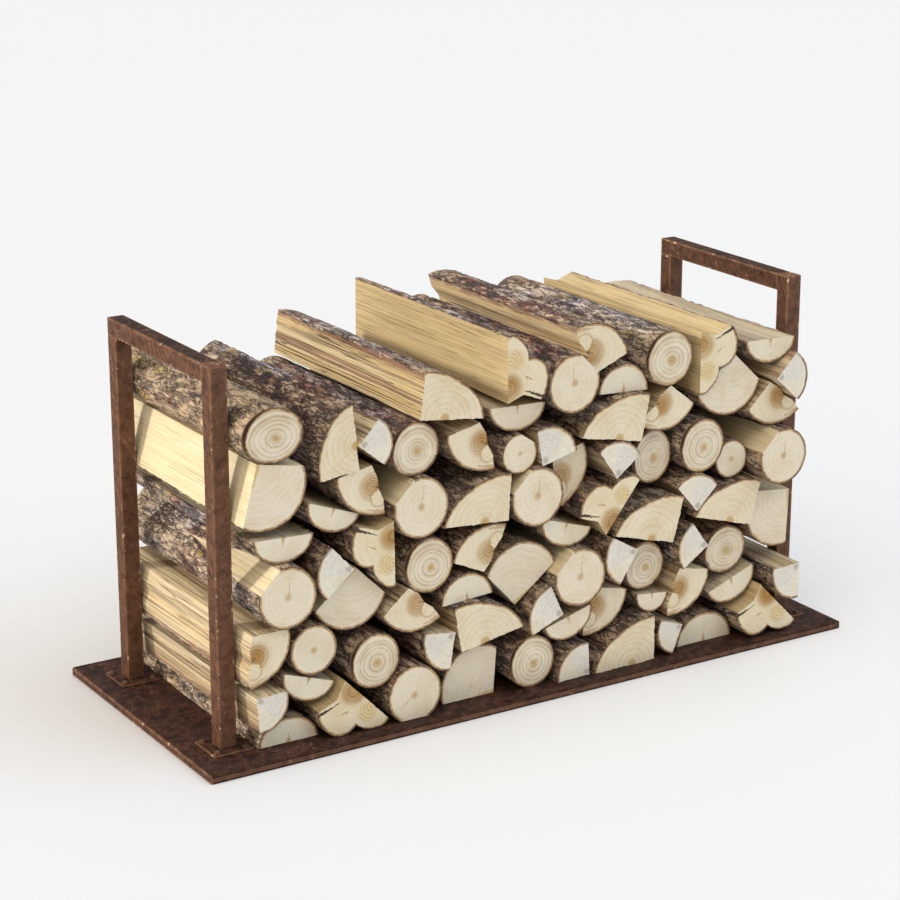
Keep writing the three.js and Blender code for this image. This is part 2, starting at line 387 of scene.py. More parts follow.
# %% Colours of the bark
def flake_colours(tree, on, pale):
    """The ground colour, and light and dark flakes upon it."""
    # The ground drifts from purple grey to brown, with red flakes in some zones.
    warmth = ease(tree, on.wide, 0.43, 0.57)
    ground = tint(tree, warmth, (0.235, 0.175, 0.210), (0.28, 0.140, 0.082))
    red_zone = ease(tree, cloud(tree, on.torn, 0.018, 2.0), 0.48, 0.55)
    red = times(tree, ease(tree, on.flake[2], 0.15, 0.45), red_zone)
    ground = tint(tree, times(tree, red, 0.85), ground, (0.33, 0.088, 0.050))
    bright = tint(tree, warmth, (0.68, 0.615, 0.645), (0.76, 0.58, 0.41))
    # Each flake takes a tone of its own, and chips, threads and clouds vary it again.
    tone = plus(tree, times(tree, on.flake[0], 0.42), times(tree, on.chip[0], 0.22))
    tone = plus(tree, tone, plus(tree, times(tree, on.threads, 1.5), times(tree, on.middle, 0.9)))
    tone = plus(tree, tone, times(tree, pale, 0.12))
    colour = tint(tree, ease(tree, tone, 1.57, 1.74, 0.0, 0.97), ground, bright)
    return tint(tree, ease(tree, tone, 1.49, 1.32, 0.0, 0.95), colour, (0.036, 0.022, 0.022))


def weather(tree, on, colour, pale, fresh):
    """Lichen and sun-bleached skin, more of it on a pale log, and the flaked-off ends."""
    bleach = plus(tree, times(tree, pale, 0.28), times(tree, on.chip[1], 0.09))
    bleach = ease(tree, plus(tree, bleach, on.middle), 0.60, 0.76)
    skin = tint(tree, ease(tree, on.threads, 0.35, 0.6), (0.42, 0.28, 0.17), (0.76, 0.65, 0.49))
    colour = tint(tree, times(tree, bleach, 0.72), colour, skin)
    colour = tint(tree, ease(tree, pale, 0.6, 1.0, 0.0, 0.8), colour, (1.0, 0.88, 0.68), "MULTIPLY")
    ochre = plus(tree, cloud(tree, on.torn, 0.035, 3.0), times(tree, pale, 0.07))
    colour = tint(tree, times(tree, ease(tree, ochre, 0.63, 0.69), 0.65), colour, (0.52, 0.36, 0.10))
    # Near the sawn ends: tan inner bark between the flakes that are left.
    flaked = plus(tree, on.middle, times(tree, on.flake[0], 0.3))
    fresh = times(tree, fresh, ease(tree, flaked, 0.46, 0.72, 0.1, 0.95))
    inner_bark = tint(tree, on.threads, (0.38, 0.235, 0.13), (0.70, 0.56, 0.38))
    colour = tint(tree, fresh, colour, inner_bark)
    return tint(tree, ease(tree, on.fine, 0.34, 0.56, 0.4, 0.0), colour, (0.42, 0.33, 0.31), "MULTIPLY")

# %% The bark group
def cracks(tree, on, grain, seed, pale):
    """Dark cracks between flakes, and crevices that wander along the log."""
    large = ease(tree, minus(tree, on.gap, times(tree, on.fine, 0.15)), 0.05, 0.005)
    small = times(tree, ease(tree, on.small_gap, 0.12, 0.03), ease(tree, on.fine, 0.5, 0.64))
    cracked = ease(tree, cloud(tree, on.place, 0.05, 3.0), 0.42, 0.58, 0.08, 0.95)
    cracked = times(tree, cracked, minus(tree, 1.0, times(tree, pale, 0.15)))
    seam = times(tree, maths(tree, "MAXIMUM", large, small), cracked)
    # A crevice lies where a stretched noise crosses its middle value.
    crevice = cloud(tree, grain_of(tree, grain, seed, (0.085, 0.085, 0.022)), 1.0, 4.0, 0.6, 0.5)
    crevice = maths(tree, "ABSOLUTE", minus(tree, crevice, 0.5))
    crevice = ease(tree, plus(tree, crevice, times(tree, on.fine, 0.02)), 0.042, 0.018)
    return maths(tree, "MAXIMUM", seam, crevice)


def build_bark():
    tree, entry, leave = new_group(
        "Bark",
        {"Grain": "Vector", "Tree": "Float", "Fissure": "Float", "Fresh": "Float", "Pale": "Float"},
        {"Colour": "Color", "Roughness": "Float", "Height": "Float"})
    grain, seed, pale = entry["Grain"], entry["Tree"], entry["Pale"]
    on = bark_patterns(tree, grain, seed)
    colour = flake_colours(tree, on, pale)
    colour = weather(tree, on, colour, pale, entry["Fresh"])
    seam = cracks(tree, on, grain, seed, pale)
    colour = tint(tree, times(tree, seam, 0.92), colour, (0.022, 0.014, 0.013))
    # Painted shade in the deep fissures, darker the deeper they are.
    colour = tint(tree, times(tree, entry["Fissure"], 0.85), colour, (0.034, 0.021, 0.019))
    height = plus(tree, ease(tree, on.gap, 0.0, 0.3, 0.0, 0.8), times(tree, on.fine, 0.4))
    height = plus(tree, height, times(tree, on.flake[1], 0.3))
    height = plus(tree, height, times(tree, on.threads, 0.5))
    height = minus(tree, height, times(tree, seam, 0.5))
    roughness = ease(tree, on.fine, 0.2, 0.8, 0.62, 0.95)
    deliver(tree, leave, Colour=colour, Roughness=roughness, Height=height)
    return tree


BARK = build_bark()
print("bark group has", len(BARK.nodes), "nodes")

# %% [markdown]
# ## Marks on the sawn ends
#
# Some ends show more than rings: a crack from the heart, the brown wedge of a side branch,
# the swirl of a knot. Each is a soft stroke or spot, placed in the log's own coordinates,
# so it stays with its log however that is turned.

# %% Strokes and spots
def uneven(tree, grain, seed, amount):
    """The flat grain vector, pushed about by noise so that marks have ragged edges."""
    flat = vectors(tree, "MULTIPLY", grain, (1.0, 1.0, 0.0))
    push = put(tree, "ShaderNodeTexNoise", {"Vector": grain_of(tree, grain, seed, (1.0, 1.0, 0.2)),
                                            "Scale": 0.24, "Detail": 2.0})
    push = vectors(tree, "SUBTRACT", push.outputs[1], (0.5, 0.5, 0.5))
    return vectors(tree, "ADD", flat, vectors(tree, "MULTIPLY", push, (amount, amount, 0.0)))


def spot(tree, flat, centre, radius, softness=0.5):
    away = vectors(tree, "DISTANCE", flat, (*centre, 0.0), output="Value")
    return ease(tree, away, radius, radius * (1 - softness))


def stroke(tree, flat, start, end, width, tip=0.3):
    """A line from start to end that narrows towards its end."""
    run = (end[0] - start[0], end[1] - start[1], 0.0)
    length_squared = run[0] ** 2 + run[1] ** 2
    offset = vectors(tree, "SUBTRACT", flat, (*start, 0.0))
    share = maths(tree, "DIVIDE", vectors(tree, "DOT_PRODUCT", offset, run, output="Value"), length_squared)
    share = put(tree, "ShaderNodeClamp", {0: share}).outputs[0]
    scaled = put(tree, "ShaderNodeVectorMath", {0: run, "Scale": share}, operation="SCALE").outputs[0]
    away = vectors(tree, "LENGTH", vectors(tree, "SUBTRACT", offset, scaled), output="Value")
    thickness = ease(tree, share, 0.0, 1.0, width, width * tip)
    return ease(tree, maths(tree, "DIVIDE", away, thickness), 1.0, 0.35)

# %% [markdown]
# ## The kinds of log
#
# The pile holds nine kinds of cross-section. Each outline is a short list of corners, going
# anticlockwise as seen from the front: millimetres across, millimetres up, and how far the
# side after that corner bows out. Bark bows, a split face is straight. The heart of the
# tree is at (0, 0). A second table gives each kind its wood, its rings and how rough it
# tore.

# %% Sections and finishes
SECTIONS = {
    "ring_log": ((37, 4, 12), (-4, 45, 12), (-45, 4, 12), (-4, -37, 12)),
    "slab_log": ((-9, 42, 0), (-43, 8, 16), (0, -45, 13), (44, -1, 16)),
    "quarter_log": ((0, 0, 0), (66, 62, 11), (0, 98, 11), (-54, 50, 0)),
    "half_log": ((46, 0, 0), (-46, 0, 4.5), (-27, -29, 7.5), (27, -29, 4.5)),
    "split_log": ((-39, 0, 0), (65, 0, 7), (28, 49, 6), (-39, 67, 0)),
    "knot_log": ((-3, 30, 0), (-57, 17, 7), (-28, -32, 4), (21, -41, 0), (18, -20, 0), (9, -4, 0),
                 (7, 12, 0)),
    "twin_log": ((-14, 17, 0), (-27, -8, 0), (-58, -22, 7), (-30, -62, 5), (3, -53, 4), (36, -63, 3),
                 (55, -54, 0)),
    "wedge": ((0, 0, 0), (42, -38, 19), (36, 36, 0)),
    "pole": ((36, 0, 10.5), (0, 36, 10.5), (-36, 0, 10.5), (0, -36, 10.5)),
}

FINISH_VALUES = ("wood", "ring", "ring_width", "ring_strength", "heart_radius", "heart_strength",
                 "straw", "streaks", "tear")  # tear is how deep a split face tore, in millimetres
FINISH_ROWS = {
    "ring_log": ((0.75, 0.67, 0.53), (0.43, 0.34, 0.225), 6.6, 0.8, 9.0, 0.5,
                 (0.66, 0.50, 0.28), 0.5, 0.5),
    "slab_log": ((0.77, 0.69, 0.545), (0.58, 0.44, 0.26), 2.9, 0.34, 9.0, 0.45,
                 (0.80, 0.68, 0.44), 0.2, 0.4),
    "quarter_log": ((0.77, 0.69, 0.55), (0.57, 0.45, 0.28), 3.6, 0.42, 6.0, 0.3,
                    (0.84, 0.72, 0.465), 0.06, 0.35),
    "half_log": ((0.76, 0.69, 0.55), (0.60, 0.48, 0.31), 3.2, 0.2, 4.0, 0.2,
                 (0.63, 0.54, 0.38), 0.45, 0.6),
    "split_log": ((0.78, 0.70, 0.53), (0.54, 0.38, 0.18), 3.2, 0.58, 11.0, 0.5,
                  (0.68, 0.56, 0.33), 1.0, 1.2),
    "knot_log": ((0.77, 0.69, 0.52), (0.46, 0.27, 0.09), 3.8, 0.26, 27.0, 0.95,
                 (0.78, 0.65, 0.42), 0.72, 1.0),
    "twin_log": ((0.77, 0.68, 0.49), (0.46, 0.28, 0.09), 4.4, 0.2, 30.0, 1.0,
                 (0.61, 0.475, 0.255), 0.3, 0.7),
    "wedge": ((0.81, 0.75, 0.63), (0.42, 0.37, 0.31), 3.6, 0.42, 3.0, 0.1, (0.78, 0.66, 0.44), 0.8, 1.0),
    "pole": ((0.75, 0.68, 0.54), (0.55, 0.44, 0.29), 3.4, 0.24, 8.0, 0.4, (0.66, 0.50, 0.28), 0.4, 0.4),
}
FINISHES = {kind: SimpleNamespace(**dict(zip(FINISH_VALUES, row))) for kind, row in FINISH_ROWS.items()}
print("kinds of log:", ", ".join(SECTIONS))

# %% The marks of each kind
def ring_log_marks(tree, grain, seed, colour):
    jagged = uneven(tree, grain, seed, 9.0)
    heart = times(tree, spot(tree, jagged, (0, 0), 7.5, 0.45), 0.75)
    return tint(tree, heart, colour, (0.50, 0.345, 0.13))


def slab_log_marks(tree, grain, seed, colour):
    flat = uneven(tree, grain, seed, 5.0)
    crack = stroke(tree, flat, (1, 3), (4, 31), 0.9)
    return tint(tree, times(tree, crack, 0.7), colour, (0.26, 0.2, 0.14))


def quarter_log_marks(tree, grain, seed, colour):
    flat = uneven(tree, grain, seed, 5.0)
    gold = stroke(tree, flat, (2, 3), (22, 22), 6.5)
    return tint(tree, times(tree, gold, 0.8), colour, (0.58, 0.38, 0.11))


def half_log_marks(tree, grain, seed, colour):
    flat = uneven(tree, grain, seed, 5.0)
    branch = stroke(tree, flat, (0, 2), (0, -12), 4.4, 0.15)
    return tint(tree, times(tree, branch, 0.8), colour, (0.44, 0.27, 0.09))


def split_log_marks(tree, grain, seed, colour):
    flat = uneven(tree, grain, seed, 5.0)
    rays = stroke(tree, flat, (-4, 6), (-31, 56), 1.6)
    colour = tint(tree, times(tree, rays, 0.3), colour, (0.6, 0.42, 0.16))
    return tint(tree, times(tree, spot(tree, flat, (0, 3), 9.0), 0.55), colour, (0.50, 0.30, 0.09))


def knot_log_marks(tree, grain, seed, colour):
    flat = uneven(tree, grain, seed, 5.0)
    jagged = uneven(tree, grain, seed, 9.0)
    burl = spot(tree, flat, (10, -17), 12.5, 0.25)
    swirl = cloud(tree, grain_of(tree, grain, seed, (1.0, 1.0, 0.2)), 0.5, 3.0, 0.6, 1.5)
    swirl = tint(tree, ease(tree, swirl, 0.35, 0.65), (0.62, 0.49, 0.29), (0.80, 0.72, 0.54))
    edge = minus(tree, spot(tree, flat, (10, -17), 16.0, 0.3), burl)
    colour = tint(tree, times(tree, edge, 0.7), colour, (0.42, 0.24, 0.08))
    colour = tint(tree, burl, colour, swirl)
    outer = stroke(tree, flat, (20, -38), (-6, -33), 5.0, 0.3)
    colour = tint(tree, times(tree, outer, 0.6), colour, (0.40, 0.22, 0.07))
    crack = stroke(tree, jagged, (13, -4), (-1, 1), 2.6, 0.25)
    return tint(tree, times(tree, crack, 0.9), colour, (0.12, 0.055, 0.022))


def twin_log_marks(tree, grain, seed, colour):
    flat = uneven(tree, grain, seed, 5.0)
    lobe = spot(tree, flat, (20, -36), 19.0, 0.5)
    away = vectors(tree, "DISTANCE", flat, (26.0, -30.0, 0.0), output="Value")
    rings = ease(tree, maths(tree, "SINE", times(tree, away, 1.25)), 0.1, 0.9)
    colour = tint(tree, times(tree, lobe, 0.5), colour, (0.66, 0.47, 0.18))
    colour = tint(tree, times(tree, times(tree, lobe, rings), 0.5), colour, (0.42, 0.26, 0.08))
    crack = stroke(tree, flat, (-58, -27), (-24, -14), 3.6, 0.3)
    colour = tint(tree, crack, colour, (0.05, 0.028, 0.016))
    branch = stroke(tree, flat, (-12, -30), (-27, -34), 2.0, 0.2)
    return tint(tree, times(tree, branch, 0.7), colour, (0.36, 0.19, 0.06))


def wedge_marks(tree, grain, seed, colour):
    """A grey half, with dashes along its year rings."""
    flat = uneven(tree, grain, seed, 5.0)
    up = put(tree, "ShaderNodeSeparateXYZ", {0: flat}).outputs[1]
    out = vectors(tree, "LENGTH", flat, output="Value")
    grey = times(tree, ease(tree, up, -9.0, -4.0), ease(tree, out, 56.0, 44.0))
    colour = tint(tree, times(tree, grey, 0.55), colour, (0.68, 0.655, 0.61))
    dash = ease(tree, cloud(tree, grain_of(tree, grain, seed, (1.0, 1.0, 0.2)), 0.19, 3.0), 0.48, 0.58)
    arcs = ease(tree, maths(tree, "COSINE", times(tree, out, 1.9)), 0.6, 0.95)
    inked = times(tree, times(tree, arcs, dash), grey)
    colour = tint(tree, times(tree, inked, 0.55), colour, (0.32, 0.30, 0.285))
    return tint(tree, times(tree, spot(tree, flat, (9, 1), 6.0), 0.6), colour, (0.32, 0.26, 0.19))


MARKS = {"ring_log": ring_log_marks, "slab_log": slab_log_marks, "quarter_log": quarter_log_marks,
         "half_log": half_log_marks, "split_log": split_log_marks, "knot_log": knot_log_marks,
         "twin_log": twin_log_marks, "wedge": wedge_marks}
print("kinds with marks of their own:", len(MARKS))

# %% [markdown]
# A sawn end then needs one material for each kind: the shared group with the wood and rings
# of that kind, and its marks on top.

# %% The sawn-end material of each kind
def sawn_material(kind):
    finish = FINISHES[kind]
    material, tree, shader = blank_material(f"{kind}_sawn_end")
    grain, seed = attribute(tree, "grain", "Vector"), attribute(tree, "tree")
    sawn = put(tree, "ShaderNodeGroup", node_tree=SAWN_END)
    for socket, value in (("Grain", grain), ("Tree", seed), ("Rim", attribute(tree, "rim"))):
        tree.links.new(value, sawn.inputs[socket])
    for socket, value in (("Wood", (*finish.wood, 1)), ("Ring Colour", (*finish.ring, 1)),
                          ("Ring Width", finish.ring_width), ("Ring Strength", finish.ring_strength),
                          ("Heart Radius", finish.heart_radius), ("Heart Strength", finish.heart_strength)):
        sawn.inputs[socket].default_value = value
    colour = sawn.outputs["Colour"]
    if kind in MARKS:
        colour = MARKS[kind](tree, grain, seed, colour)
    finish_surface(tree, shader, colour, sawn.outputs["Roughness"], sawn.outputs["Height"], 0.35, 0.0006)
    return material

# %% [markdown]
# The long sides of a log are bark or split wood, and often both on one log. The attribute
# bark says which, and noise frays the line where they meet. Along that line shows a strip
# of reddish inner bark, as on any freshly split log.

# %% The side material of each kind
LOG_LENGTH = 400.0  # millimetres, near enough for where the outer bark flakes off at the back


def axe_tongue(tree, grain, along):
    """Bark cover on a slab log: the axe left a tongue of bare wood that narrows to a point."""
    beside = vectors(tree, "DOT_PRODUCT", grain, (0.707, 0.707, 0.0), output="Value")
    beside = maths(tree, "ABSOLUTE", beside)
    tongue = ease(tree, along, 0.0, 270.0, 27.0, 0.0)
    return ease(tree, minus(tree, beside, tongue), -4.0, 3.0)


def side_material(kind):
    material, tree, shader = blank_material(f"{kind}_side")
    grain, seed = attribute(tree, "grain", "Vector"), attribute(tree, "tree")
    along = put(tree, "ShaderNodeSeparateXYZ", {0: grain}).outputs[2]
    from_end = maths(tree, "MINIMUM", along, minus(tree, LOG_LENGTH, along))
    fresh = ease(tree, from_end, 62.0, 6.0)
    split = put(tree, "ShaderNodeGroup", node_tree=SPLIT_FACE)
    bark = put(tree, "ShaderNodeGroup", node_tree=BARK)
    for group in (split, bark):
        tree.links.new(grain, group.inputs["Grain"])
        tree.links.new(seed, group.inputs["Tree"])
    split.inputs["Straw"].default_value = (*FINISHES[kind].straw, 1)
    split.inputs["Streaks"].default_value = FINISHES[kind].streaks
    tree.links.new(attribute(tree, "fissure"), bark.inputs["Fissure"])
    tree.links.new(fresh, bark.inputs["Fresh"])
    tree.links.new(attribute(tree, "pale"), bark.inputs["Pale"])
    cover = attribute(tree, "bark")
    if kind == "slab_log":
        cover = maths(tree, "MAXIMUM", cover, axe_tongue(tree, grain, along))
    fray = cloud(tree, grain_of(tree, grain, seed, (0.14, 0.14, 0.03)), 1.0, 3.0, 0.6)
    mask = plus(tree, cover, times(tree, minus(tree, fray, 0.5), 0.9))
    bare = ease(tree, mask, 0.42, 0.58)
    strip = times(tree, ease(tree, mask, 0.2, 0.45), minus(tree, 1.0, bare))
    colour = tint(tree, times(tree, strip, 0.8), split.outputs["Colour"], (0.27, 0.125, 0.07))
    colour = tint(tree, bare, colour, bark.outputs["Colour"])
    mixed = {}
    for socket in ("Roughness", "Height"):
        sockets = {0: bare, 2: split.outputs[socket], 3: bark.outputs[socket]}
        mixed[socket] = put(tree, "ShaderNodeMix", sockets).outputs[0]
    finish_surface(tree, shader, colour, mixed["Roughness"], mixed["Height"], 0.9, 0.0016)
    return material


MATERIALS = {kind: (side_material(kind), sawn_material(kind)) for kind in SECTIONS}
print("log materials:", 2 * len(MATERIALS))

# %% [markdown]
# ## Where the logs lie
#
# The large logs are in the frame: a log's box gives its place and size, once its turn is
# known. A turn is in degrees, anticlockwise from the front, and a minus sign in front of a
# mirrored log's 1 flips it left to right. Two numbers a log are all that is needed.

# %% Turn and side of every large log
TURNS = {
    "ring_log": ((0, 1),) * 10,
    "slab_log": ((0, 1), (0, 1), (134, 1), (0, 1), (0, -1), (0, 1), (0, 1)),
    "quarter_log": ((-148, 1), (178, 1), (43, -1), (-5, 1), (179, 1), (131, -1)),
    "half_log": ((180, 1), (-2, 1), (180, 1)),
    "split_log": ((96, 1), (-7, 1), (10, 1), (-4, -1), (-11, -1), (-15, -1), (-16, -1), (0, -1)),
    "knot_log": ((0, 1), (-3, 1), (26, 1), (15, -1), (169, -1), (189, 1), (-25, -1), (30, 1), (2, -1)),
    "twin_log": ((-43, 1), (0, 1), (136, 1), (44, -1), (186, -1), (0, 1)),
}
MM = 0.001


def walk_round(kind, step):
    """Points round a section, every step millimetres: across, up, and how much bark is on it.

    That is 1 on bark and 0 on a split face, with a little inner bark left along their border.
    """
    corners = SECTIONS[kind]
    left_over = 0.42 * min(1.0, 1.3 * FINISHES[kind].streaks)
    points = []
    for k, (ax, ay, bulge) in enumerate(corners):
        bx, by, next_bulge = corners[(k + 1) % len(corners)]
        start, chord = Vector((ax, ay)), Vector((bx - ax, by - ay))
        outward = Vector((chord.y, -chord.x)).normalized()
        half = chord.length / 2
        count = max(1, round(chord.length * (1.06 if bulge else 1.0) / step))
        bark = 1.0 if bulge else 0.0
        for i in range(count):
            share = i / count
            point = start + chord * share
            if bulge:
                radius = (half ** 2 + bulge ** 2) / (2 * bulge)
                angle = 2 * math.asin(half / radius) * (share - 0.5)
                centre = start + chord / 2 - outward * (radius - bulge)
                point = centre + radius * (chord.normalized() * math.sin(angle) + outward * math.cos(angle))
            elif i == 0 and corners[k - 1][2] > 0:
                bark = 1.0
            else:
                to_bark = min(share if corners[k - 1][2] else 1.0, 1 - share if next_bulge else 1.0)
                bark = left_over * min(1.0, max(0.0, 1.7 - to_bark * chord.length / 9))
            points.append((point.x, point.y, bark))
    return points


def turned(kind, turn, across, up):
    """A section's outline after it is sized and turned, as coarse points."""
    spin = Matrix.Rotation(math.radians(turn), 2)
    return [spin @ Vector((u * across, w * up)) for u, w, _ in walk_round(kind, 8)]


LOGS = []
for kind, rows in TURNS.items():
    for k, (turn, side) in enumerate(rows):
        node = f"{kind}_{k + 1:02d}"
        low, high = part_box(node)
        outline = turned(kind, turn, side, 1)
        lows = [min(p[i] for p in outline) for i in (0, 1)]
        highs = [max(p[i] for p in outline) for i in (0, 1)]
        across = (high[0] - low[0]) / MM / (highs[0] - lows[0])
        up = (high[2] - low[2]) / MM / (highs[1] - lows[1])
        place = Vector((high[0] / MM - highs[0] * across, high[2] / MM - highs[1] * up))
        LOGS.append(SimpleNamespace(
            name=node, node=node, kind=kind, turn=turn, before=(side, 1), after=(across, up), place=place,
            front=low[1] / MM, back=high[1] / MM,
            points=[Vector((p.x * across, p.y * up)) for p in outline]))
print("large logs:", len(LOGS))

# %% [markdown]
# ## The thin sticks between them
#
# The thinner pieces fill the gaps of the pile. Each row is one stick as it is first laid:
# its heart across and up in millimetres, its turn, its size across and up, and how far it
# is set back from the front. They are then eased apart: where two outlines overlap, the
# stick moves by the shortest way out, and the large logs stay where they are. A stick that
# is still squeezed after many rounds becomes a little thinner, as a real one would be.

# %% Rows of sticks
STICKS = {
    "half_log": ((-318, 330, -20, 0.92, 0.92, 8), (-404, 301, -2, 1, 1, 8),
                 (-360, 93, -18.6, 0.92, 0.92, 8), (-115, 161, 184, 0.92, 1.1, 8),
                 (-28, 435, -2, 1.03, 1.03, 12),
                 (154, 425, 177, 0.94, 1.15, 8), (55, 236, -17.6, 1, 1, 8), (352, 104, 20.6, 0.99, 0.99, 5),
                 (218, 105, -6, 0.62, 0.8, 10), (51, 108, 15.7, 0.93, 0.93, 0)),
    "knot_log": ((49, 314, 31, -1, 1, 20), (111, 105, 0, -1, 1, 18)),
    "wedge": ((-292, 409, 3, 1, 1, -5), (-303, 250, -2, -1, 1, -5), (-142, 126, 38, -1, 1, -5),
              (-456, 95, -43, 0.93, 0.93, -5), (-1, 341, 56, 1.05, 1.05, -5), (132, 299, -97, -1, 1, -5),
              (401, 414, 0, 1, 1, -20), (264, 224, -91, -1.05, 1.05, -5), (170, 189, 15, -1.03, 1.03, -5),
              (297, 170, -8, -0.95, 0.95, -5), (461, 119, 48, -1, 1, -20), (40, 115, -20, -1.03, 1.03, -5),
              (254, 56, 26, -0.82, 0.82, -5), (88, 12, -41, -1, 1, -5)),
    "slab_log": ((-30, 363, -80, 0.66, 0.66, 0),),
    "pole": ((-363, 143, 0, 1, 1, 3), (353, 305, 0, 0.87, 0.87, 8)),
}
FRONT_LINE = -195  # where a stick with no set-back is sawn off
BACK_LINE = 206
SLACK = 0.3  # left between neighbours

sticks = []
for kind, rows in STICKS.items():
    for k, (x, z, turn, across, up, set_back) in enumerate(rows):
        number = len(sticks)
        sticks.append(SimpleNamespace(
            name=f"small_{kind}_{k + 1:02d}", node=None, kind=kind, turn=turn, before=(across, up),
            after=(1.0, 1.0), place=Vector((x, z)), front=FRONT_LINE + set_back,
            back=BACK_LINE + 9 * math.sin(number * 2.1), points=turned(kind, turn, across, up)))

# %% Easing the sticks apart
def way_out(mover, other):
    """The shortest push that parts mover from other, or None if they are already clear."""
    best = None
    for points in (mover.points, other.points):
        for k, p in enumerate(points):
            edge = points[(k + 1) % len(points)] - p
            if edge.length < 0.01:
                continue
            normal = Vector((edge.y, -edge.x)).normalized()
            gap = (other.place - mover.place).dot(normal)
            mine = [v.dot(normal) for v in mover.points]
            theirs = [v.dot(normal) + gap for v in other.points]
            back = max(mine) - min(theirs) + SLACK
            ahead = max(theirs) - min(mine) + SLACK
            if back <= 0 or ahead <= 0:
                return None
            if best is None or min(back, ahead) < best.length:
                best = normal * (-back if back < ahead else ahead)
    return best


plate_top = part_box("base_plate")[1][2] / MM
foot_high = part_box("left_front_foot")[1]
inner_face = -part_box("left_front_post")[1][0] / MM


def keep_inside(stick):
    for p in stick.points:
        x = stick.place.x + p.x
        floor = foot_high[2] / MM if abs(x) > -foot_high[0] / MM else plate_top
        stick.place.y = max(stick.place.y, floor + SLACK - p.y)
        stick.place.x = min(max(stick.place.x, SLACK - inner_face - p.x), inner_face - SLACK - p.x)


def ease_apart(rounds, patience):
    reach = {log.name: max(p.length for p in log.points) for log in LOGS + sticks}
    for turn_of_work in range(rounds):
        busy = 0
        for stick in sticks:
            pushes = []
            for other in LOGS + sticks:
                if other is stick:
                    continue
                if (other.place - stick.place).length > reach[other.name] + reach[stick.name]:
                    continue
                push = way_out(stick, other)
                if push is not None and push.length > 0.15:
                    pushes.append(push * (0.5 if other.node is None else 0.8))
            for push in pushes:
                stick.place += push
            keep_inside(stick)
            if pushes and turn_of_work > patience:
                stick.points = [p * 0.992 for p in stick.points]
                stick.after = tuple(size * 0.992 for size in stick.after)
            busy += bool(pushes)
        if busy == 0:
            break
    return turn_of_work, busy


rounds_taken, still_busy = ease_apart(rounds=70, patience=12)
print("sticks:", len(sticks), "rounds:", rounds_taken, "still touching:", still_busy)
for stick in sticks:
    print("  ", stick.name, [round(c, 1) for c in stick.place], "size", round(stick.after[0], 2))
LOGS += sticks

# %% [markdown]
# ## Making one log
#
# A log starts as its outline, a closed chain of edges. Extruding the chain gives the sides,
# and cutting them across every few millimetres gives vertices to push about: in and out for
# the plates of the bark, along fine ridges for torn wood. Then each open end is capped and
# inset three times, which gives the rim of bark and young wood loops of its own.

# %% Relief of bark and split faces
STEP = 3.4  # between vertices round a log
STRIDE = 5.6  # between vertices along it
PLATE_SIZE = 12.0  # of the cells between the cracks in the bark
BARK_DEPTHS = {"rough": 0.9, "plate": 1.1, "crack": 1.7}
noise.seed_set(1)  # without a seed, noise_vector takes one from the clock


def bark_relief(u, w, v, seed):
    """How far the bark stands out, in millimetres, and how deep in a fissure the point is."""
    spot_on_tree = Vector((u, w, v * 0.32)) / PLATE_SIZE + Vector((seed * 5.1, seed * 2.3, 0))
    sway = noise.noise_vector(spot_on_tree * 0.9) * 0.35
    near = noise.voronoi(spot_on_tree + sway)[0]
    broken = noise.noise(Vector((u, w, v * 0.5)) / 16 + Vector((seed * 1.3, 0, 0)))
    crack = max(0.0, 1.0 - (near[1] - near[0]) / 0.2) * min(1.0, max(0.0, 3.0 * broken + 0.45))
    rough = noise.fractal(Vector((u, w, v * 0.5)) / 7 + Vector((0, seed * 3.7, 0)), 0.8, 2.1, 3)
    plate = noise.noise(Vector((u, w, v * 0.3)) / 26 + Vector((seed, 0, seed)))
    out = BARK_DEPTHS["rough"] * rough + BARK_DEPTHS["plate"] * plate - BARK_DEPTHS["crack"] * crack
    return out, crack


def split_relief(u, w, v, seed, depth):
    """How far a torn face stands out: ridges that run along the fibres."""
    ridges = noise.noise(Vector((u / 5.0, w / 5.0, v / 160)) + Vector((seed * 2.9, 0, 0)))
    fine = noise.noise(Vector((u / 2.4, w / 2.4, v / 90)) + Vector((0, seed * 4.3, 0)))
    sweep = noise.noise(Vector((u / 30, w / 30, v / 120)) + Vector((0, 0, seed * 1.7)))
    return depth * (ridges + 0.5 * fine + 0.9 * sweep - 0.2)

# %% Building a log
TAPER = 0.97
RIM_LOOPS = (
    # width in mm, rim attribute on it, what loose bark adds to that to paint shade in the groove, how much
    # it is the open groove
    (1.2, 0.8, 0.35, 0),
    (1.7, 0.45, 1.3, 1),
    (1.9, 0.0, 0.0, 0),
)
BOW = 1.2  # how far the middle of a log strays from a straight line
LOOSE_BARK = {"bearing": 155, "spread": 62, "width": 3.6, "depth": 5.0}  # of a ring log


def lay_chain(bm, walk, length, layers):
    """The sides of the log: a closed chain of edges, extruded and cut across."""
    ring = [bm.verts.new((u, 0.0, w)) for u, w, _ in walk]
    for vert, (_, _, bark) in zip(ring, walk):
        vert[layers["bark"]] = bark
    chain = [bm.edges.new((ring[k - 1], ring[k])) for k in range(len(ring))]
    drawn = bmesh.ops.extrude_edge_only(bm, edges=chain)["geom"]
    far = [item for item in drawn if isinstance(item, bmesh.types.BMVert)]
    bmesh.ops.translate(bm, verts=far, vec=(0, length, 0))
    bmesh.ops.scale(bm, verts=far, vec=(TAPER, 1, TAPER))
    long_edges = [e for e in bm.edges if abs(e.verts[0].co.y - e.verts[1].co.y) > 1]
    bmesh.ops.subdivide_edges(bm, edges=long_edges, cuts=round(length / STRIDE) - 1, use_grid_fill=True)


